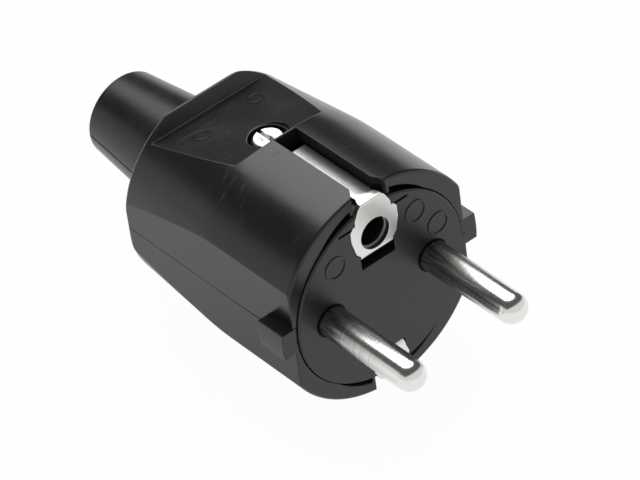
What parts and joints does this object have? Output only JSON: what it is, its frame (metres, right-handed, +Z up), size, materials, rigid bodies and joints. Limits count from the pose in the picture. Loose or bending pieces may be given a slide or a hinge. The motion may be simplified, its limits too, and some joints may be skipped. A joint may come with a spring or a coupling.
{
  "type": "electrical plug",
  "caption": "Rewirable mains plug with round pins, side earth straps, an earth pin hole, a screwed two-part black housing and a tapered cable sleeve.",
  "frame": {"origin": "on the supporting surface, under the middle of the plug's overall box", "axes": "+Y along the plug's axis towards the cable end, the pins point to -Y and lie side by side along X, +Z up through the housing screw"},
  "size_m": [0.0364, 0.0781, 0.0362],
  "materials": {
    "housing_black": "black moulded plastic, semi-gloss",
    "insert_black": "dark grey-black moulded plastic, satin",
    "sleeve_black": "black soft plastic, satin",
    "pin_nickel": "nickel-plated brass, bright with fine turning marks",
    "strap_nickel": "nickel-plated brass sheet, bright",
    "screw_steel": "zinc-plated steel"
  },
  "bodies": {
    "root": {"upper_shell": "housing_black", "lower_shell": "housing_black", "face_insert": "insert_black", "pin_left": "pin_nickel", "pin_right": "pin_nickel", "terminal_screw_left": "screw_steel", "terminal_screw_right": "screw_steel", "earth_strap_upper": "strap_nickel", "earth_strap_lower": "strap_nickel", "earth_socket": "strap_nickel", "earth_saddle": "screw_steel", "earth_screw": "screw_steel", "cord_clamp": "insert_black", "clamp_screw_left": "screw_steel", "clamp_screw_right": "screw_steel", "housing_screw": "screw_steel", "housing_nut": "screw_steel", "cable_sleeve": "sleeve_black"}
  },
  "joints": []
}
